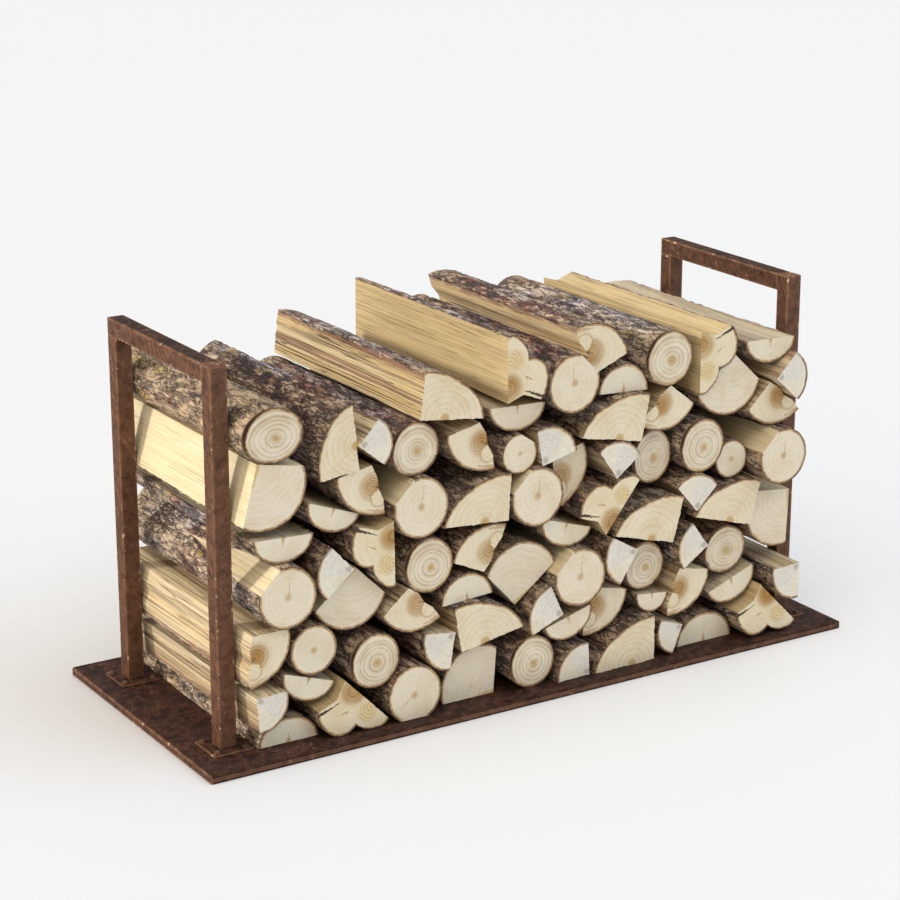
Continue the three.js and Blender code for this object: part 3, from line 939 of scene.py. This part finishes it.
def roughen(bm, log, length, layers):
    """Pushes the sides in and out, and bows the whole log a little."""
    seed = log.seed
    depth = FINISHES[log.kind].tear
    bow = Vector((math.sin(seed * 1.9), 0, math.cos(seed * 2.7))) * BOW
    bmesh.ops.recalc_face_normals(bm, faces=bm.faces)
    bm.normal_update()
    moves = []
    for vert in bm.verts:
        u, v, w = vert.co
        bark = vert[layers["bark"]]
        out, crack = bark_relief(u, w, v, seed)
        torn = split_relief(u, w, v, seed, depth)
        vert[layers["fissure"]] = crack * bark
        # A saw cut leaves a cleaner outline than the bark has further along.
        out *= min(1.0, 0.4 + min(v, length - v) / 30)
        share = v / length
        shift = vert.normal * (out * bark + torn * (1 - bark))
        shift.y = 0.0
        shift += bow * math.sin(math.pi * share)
        moves.append((vert, shift))
    for vert, shift in moves:
        vert.co += shift


def looseness(log, vert):
    """How loose the bark is here, from 0 to 1. On a ring log it has parted at one side."""
    if log.kind != "ring_log":
        return 0.0
    bearing = math.degrees(math.atan2(vert.co.z, vert.co.x)) % 360
    return max(0.0, 1 - abs(bearing - LOOSE_BARK["bearing"]) / LOOSE_BARK["spread"])


def cap_ends(bm, log, length, layers):
    """Closes both ends and insets them, so that bark and young wood have loops of their own."""
    for y, inward in ((0.0, 1.0), (length, -1.0)):
        rim_edges = [e for e in bm.edges if e.is_boundary and abs(e.verts[0].co.y - y) < 0.01]
        cap = bmesh.ops.contextual_create(bm, geom=rim_edges)["faces"][0]
        cap.material_index = 1
        middle = cap.calc_center_median_weighted()
        for vert in cap.verts:
            vert[layers["rim"]] = round(vert[layers["bark"]])
        for width, rim, shade, groove in RIM_LOOPS:
            around = bmesh.ops.inset_region(bm, faces=[cap], thickness=0.001)
            for face in around["faces"]:
                face.material_index = 1
            for vert in cap.verts:
                # Towards the middle, so that the loops never cross in a sharp corner.
                inwards = middle - vert.co
                inwards.y = 0.0
                loose = looseness(log, vert)
                reach = width + groove * LOOSE_BARK["width"] * loose
                vert.co += inwards.normalized() * min(reach, inwards.length * 0.3)
                vert.co.y = y + groove * inward * LOOSE_BARK["depth"] * loose ** 0.5
                # Loose bark raises the rim above 1, where the sawn-end material paints shade into the open
                # groove.
                vert[layers["rim"]] = round(vert[layers["bark"]]) * rim + shade * loose


def build_log(log):
    length = log.back - log.front
    bm = bmesh.new()
    layers = {name: bm.verts.layers.float.new(name) for name in ("bark", "fissure", "rim", "tree", "pale")}
    grain = bm.verts.layers.float_vector.new("grain")
    lay_chain(bm, walk_round(log.kind, STEP), length, layers)
    roughen(bm, log, length, layers)
    cap_ends(bm, log, length, layers)
    for vert in bm.verts:
        vert[layers["tree"]] = log.seed
        vert[layers["pale"]] = log.pale
        vert[grain] = (vert.co.x, vert.co.z, vert.co.y)
    into_place = (Matrix.Translation((log.place.x * MM, log.front * MM, log.place.y * MM))
                  @ Matrix.Diagonal((log.after[0] * MM, MM, log.after[1] * MM, 1))
                  @ Matrix.Rotation(-math.radians(log.turn), 4, "Y")
                  @ Matrix.Diagonal((log.before[0], 1, log.before[1], 1)))
    bmesh.ops.transform(bm, matrix=into_place, verts=bm.verts)
    bmesh.ops.recalc_face_normals(bm, faces=bm.faces)
    for edge in bm.edges:
        edge.smooth = edge.calc_face_angle(0.0) < math.radians(42)
    for face in bm.faces:
        face.smooth = True
    mesh = bpy.data.meshes.new(log.name)
    bm.to_mesh(mesh)
    bm.free()
    piece = bpy.data.objects.new(f"{log.name}_timber", mesh)
    for material in MATERIALS[log.kind]:
        mesh.materials.append(material)
    RACK.objects.link(piece)
    return piece

# %% [markdown]
# All the logs are now made in one loop. A large log stands for its node in the frame, and a
# thin stick is a piece of its own. Both ride with the rack.

# %% All the logs
# Bark that lichen and sun have bleached, from 0, dark, to 1, nearly all pale.
PALE = {"ring_log_01": 1.0, "half_log_01": 0.8, "ring_log_09": 0.55, "split_log_01": 0.05,
        "split_log_02": 0.4, "knot_log_06": 0.2, "slab_log_05": 0.1, "ring_log_02": 0.15}
triangles = 0
for index, log in enumerate(LOGS):
    log.seed = index + 0.37
    log.pale = PALE.get(log.name, 0.25 + 0.3 * math.sin(index * 1.3))
    piece = build_log(log)
    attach(piece, "root")
    if log.node:
        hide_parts(log.node)
    triangles += sum(len(polygon.vertices) - 2 for polygon in piece.data.polygons)
print("logs made:", len(LOGS), "triangles:", triangles)

# %% [markdown]
# ## Rust
#
# The rack is plain mild steel that has rusted to a dark brown and then been rubbed down.
# Three things make it look real: clouds of darker and redder rust, long diagonal streaks
# left by the brush on the broad side faces, and bright rubbed metal along the edges. The
# edges come from an attribute called wear, which is 1 on a bevel and 0 a few millimetres in.

# %% The rust group
def build_rust():
    tree, entry, leave = new_group(
        "Rusty steel", {"Place": "Vector", "Facing": "Vector", "Wear": "Float", "Warmth": "Float"},
        {"Colour": "Color", "Roughness": "Float", "Metallic": "Float", "Height": "Float"})
    place = vectors(tree, "SCALE", entry["Place"])
    place.node.inputs["Scale"].default_value = 1000.0
    broad = cloud(tree, place, 0.012, 4.0, 0.6)
    middle = cloud(tree, place, 0.07, 5.0, 0.7)
    fine = cloud(tree, place, 0.5, 4.0, 0.7)
    colour = tint(tree, ease(tree, middle, 0.40, 0.60), (0.021, 0.0105, 0.0075), (0.085, 0.032, 0.018))
    colour = tint(tree, ease(tree, broad, 0.4, 0.62, 0.0, 0.55), colour, (0.046, 0.026, 0.022))
    # Brushed streaks, laid slantwise over the faces that look along the rack.
    sideways = maths(tree, "ABSOLUTE", put(tree, "ShaderNodeSeparateXYZ", {0: entry["Facing"]}).outputs[0])
    slant = put(tree, "ShaderNodeMapping", {"Vector": place, "Rotation": (math.radians(38), 0, 0)})
    slant = vectors(tree, "MULTIPLY", slant.outputs[0], (0.6, 0.6, 0.045))
    brushed = cloud(tree, slant, 1.0, 4.0, 0.65, 0.4)
    warm = times(tree, ease(tree, sideways, 0.5, 0.9), entry["Warmth"])
    colour = tint(tree, times(tree, ease(tree, brushed, 0.44, 0.58), warm), colour, (0.25, 0.108, 0.052))
    # Painted sheen: the faces that look to the front and the back get a lighter rust colour, standing in
    # for the bright studio they reflect.
    painted_front_sheen = maths(tree, "ABSOLUTE", put(tree, "ShaderNodeSeparateXYZ", {0: entry["Facing"]}).outputs[1])
    painted_front_sheen = times(tree, ease(tree, painted_front_sheen, 0.5, 0.9), ease(tree, middle, 0.3, 0.6, 0.45, 0.95))
    colour = tint(tree, painted_front_sheen, colour, (0.172, 0.082, 0.049))
    colour = tint(tree, ease(tree, fine, 0.56, 0.72, 0.0, 0.5), colour, (0.15, 0.07, 0.048))
    colour = tint(tree, ease(tree, fine, 0.47, 0.34, 0.0, 0.65), colour, (0.022, 0.012, 0.010))
    specks = cloud(tree, place, 1.3, 2.0)
    colour = tint(tree, ease(tree, specks, 0.45, 0.62, 0.0, 0.5), colour, (0.42, 0.38, 0.38), "MULTIPLY")
    # Fine scratches: two sets of nearly straight hairlines.
    lines = 0.0
    for turn, offset in ((24.0, 3.0), (-51.0, 41.0)):
        aim = put(tree, "ShaderNodeMapping", {"Vector": place, "Location": (offset, offset, 0),
                                              "Rotation": [math.radians(turn)] * 3}).outputs[0]
        hair = cloud(tree, vectors(tree, "MULTIPLY", aim, (0.11, 0.006, 0.11)), 1.0, 1.0, 0.5)
        thin = ease(tree, maths(tree, "ABSOLUTE", minus(tree, hair, 0.5)), 0.006, 0.002)
        lines = maths(tree, "MAXIMUM", thin, lines)
    lines = times(tree, lines, ease(tree, middle, 0.44, 0.54))
    colour = tint(tree, times(tree, lines, 0.6), colour, (0.30, 0.19, 0.14))
    # Worn edges, bright in a few places.
    rubbed = times(tree, entry["Wear"], ease(tree, middle, 0.34, 0.62, 0.25, 1.0))
    colour = tint(tree, times(tree, rubbed, 0.75), colour, (0.27, 0.135, 0.075))
    bright = times(tree, entry["Wear"], ease(tree, cloud(tree, place, 0.1, 3.0), 0.61, 0.68))
    colour = tint(tree, bright, colour, (0.62, 0.43, 0.25))
    height = plus(tree, times(tree, middle, 0.5), times(tree, fine, 0.5))
    height = minus(tree, height, times(tree, lines, 0.3))
    roughness = ease(tree, fine, 0.3, 0.7, 0.52, 0.78)
    metallic = plus(tree, 0.06, times(tree, rubbed, 0.35))
    deliver(tree, leave, Colour=colour, Roughness=roughness, Metallic=metallic, Height=height)
    return tree


RUST = build_rust()


def steel_material(name, warmth):
    material, tree, shader = blank_material(name)
    rust = put(tree, "ShaderNodeGroup", node_tree=RUST)
    tree.links.new(put(tree, "ShaderNodeTexCoord").outputs["Object"], rust.inputs["Place"])
    tree.links.new(put(tree, "ShaderNodeNewGeometry").outputs["True Normal"], rust.inputs["Facing"])
    tree.links.new(attribute(tree, "wear"), rust.inputs["Wear"])
    rust.inputs["Warmth"].default_value = warmth
    tree.links.new(rust.outputs["Metallic"], shader.inputs["Metallic"])
    shader.inputs["Specular IOR Level"].default_value = 0.17
    finish_surface(tree, shader, rust.outputs["Colour"], rust.outputs["Roughness"],
                   rust.outputs["Height"], 0.5, 0.0005)
    return material


# The right frame takes fewer of the light brushed streaks than the left: painted shade, keeping it darker
# as light falls off across the rack.
BAR_STEEL = steel_material("left_bar_steel", 0.8)
PAINTED_SHADE_RIGHT_STEEL = steel_material("right_bar_steel_in_painted_shade", 0.45)
PLATE_STEEL = steel_material("plate_steel", 0.35)
print("rust group has", len(RUST.nodes), "nodes")

# %% [markdown]
# ## The steel of the rack
#
# Rolled bar never has a knife edge: its corners are rounded by about a millimetre, and
# that line of light along a corner is what tells the eye that it is steel. Each bar is a
# copy of its node, with the doubles merged, its edges bevelled and its faces inset.

# %% Bars, feet and the base plate
WORN_BAND = 0.0022  # the rub along an edge fades out over this width


def steel_of(node):
    if node.endswith(("plate", "foot")):
        return PLATE_STEEL
    return PAINTED_SHADE_RIGHT_STEEL if node.startswith("right") else BAR_STEEL


def merged_copy(node):
    """A copy of a node's mesh in a new bmesh, its loose triangles joined into flat faces."""
    bm = bmesh.new()
    bm.from_mesh(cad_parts[node].data)
    bmesh.ops.remove_doubles(bm, verts=bm.verts, dist=1e-5)
    bmesh.ops.dissolve_limit(bm, angle_limit=math.radians(2), verts=bm.verts, edges=bm.edges)
    return bm


def steel_piece(node, rounding):
    bm = merged_copy(node)
    bmesh.ops.bevel(bm, geom=bm.edges[:], affect="EDGES", offset=rounding, segments=2, profile=0.5,
                    material=-1)
    wear = bm.verts.layers.float.new("wear")
    for vert in bm.verts:
        vert[wear] = 1.0
    broad = [face for face in bm.faces if face.calc_area() > 600 * rounding ** 2]
    bmesh.ops.inset_individual(bm, faces=broad, thickness=WORN_BAND, use_even_offset=True)
    for face in broad:
        for vert in face.verts:
            vert[wear] = 0.0
    bmesh.ops.recalc_face_normals(bm, faces=bm.faces)
    mesh = bpy.data.meshes.new(node)
    for face in bm.faces:
        face.smooth = face not in broad
    bm.to_mesh(mesh)
    bm.free()
    piece = bpy.data.objects.new(f"{node}_steel", mesh)
    mesh.materials.append(steel_of(node))
    RACK.objects.link(piece)
    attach(piece, "root")
    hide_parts(node)
    return piece


BAR_ROUNDING = 0.0012
FOOT_ROUNDING = 0.0006
steel = [steel_piece("base_plate", BAR_ROUNDING)]
for end in ("left", "right"):
    for part in ("front_post", "rear_post", "top_bar"):
        steel.append(steel_piece(f"{end}_{part}", BAR_ROUNDING))
    for depth in ("front", "rear"):
        steel.append(steel_piece(f"{end}_{depth}_foot", FOOT_ROUNDING))
print("steel pieces:", len(steel))

# %% [markdown]
# Each foot plate is held down by four round-headed bolts, one near each corner. A head is
# a quarter arc spun round its axis.

# %% Bolts
BOLT = {"radius": 0.0052, "height": 0.0044, "inset": 0.008, "sunk": 0.001}


def bolt_head(bm, x, y, z):
    """A low dome, spun from a short arc."""
    steps = 5
    rim = []
    for k in range(steps + 1):
        angle = math.radians(90) * k / steps
        across, up = BOLT["radius"] * math.cos(angle), BOLT["height"] * math.sin(angle)
        rim.append(bm.verts.new((x + across, y, z + up)))
    rim.insert(0, bm.verts.new((x + BOLT["radius"], y, z - BOLT["sunk"])))
    arc = [bm.edges.new(pair) for pair in zip(rim, rim[1:])]
    bmesh.ops.spin(bm, geom=rim + arc, cent=(x, y, z), axis=(0, 0, 1), angle=math.tau, steps=20,
                   use_merge=True)


def bolts_of(foot):
    low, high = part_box(foot)
    bm = bmesh.new()
    for x in (low[0] + BOLT["inset"], high[0] - BOLT["inset"]):
        for y in (low[1] + BOLT["inset"], high[1] - BOLT["inset"]):
            bolt_head(bm, x, y, high[2])
    bmesh.ops.remove_doubles(bm, verts=bm.verts, dist=1e-6)
    open_rims = [edge for edge in bm.edges if edge.is_boundary]
    bmesh.ops.holes_fill(bm, edges=open_rims, sides=0)
    wear = bm.verts.layers.float.new("wear")
    for vert in bm.verts:
        # The top of each dome is worn, and is also made lighter as a painted highlight where the light
        # catches it.
        vert[wear] = 0.8 if vert.co.z > high[2] + 0.7 * BOLT["height"] else 0.0
    bmesh.ops.recalc_face_normals(bm, faces=bm.faces)
    for face in bm.faces:
        face.smooth = len(face.verts) < 5
    mesh = bpy.data.meshes.new(f"{foot}_bolts")
    bm.to_mesh(mesh)
    bm.free()
    piece = bpy.data.objects.new(f"{foot}_bolts", mesh)
    mesh.materials.append(BAR_STEEL)
    RACK.objects.link(piece)
    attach(piece, "root")
    return piece


bolts = [bolts_of(f"{end}_{depth}_foot") for end in ("left", "right") for depth in ("front", "rear")]
print("bolts:", 4 * len(bolts), "in", len(bolts), "pieces")

# %% [markdown]
# ## The floor
#
# A plain pale sweep, far larger than the view, so that no edge of it is ever seen.

# %% Floor
bm = bmesh.new()
bmesh.ops.create_grid(bm, x_segments=8, y_segments=8, size=40.0)
mesh = bpy.data.meshes.new("studio_floor")
bm.to_mesh(mesh)
bm.free()
floor = bpy.data.objects.new("studio_floor", mesh)
scene.collection.objects.link(floor)
material, _, shader = blank_material("pale_floor")
shader.inputs["Base Color"].default_value = (0.93, 0.93, 0.93, 1.0)
shader.inputs["Roughness"].default_value = 0.7
shader.inputs["Specular IOR Level"].default_value = 0.2
mesh.materials.append(material)
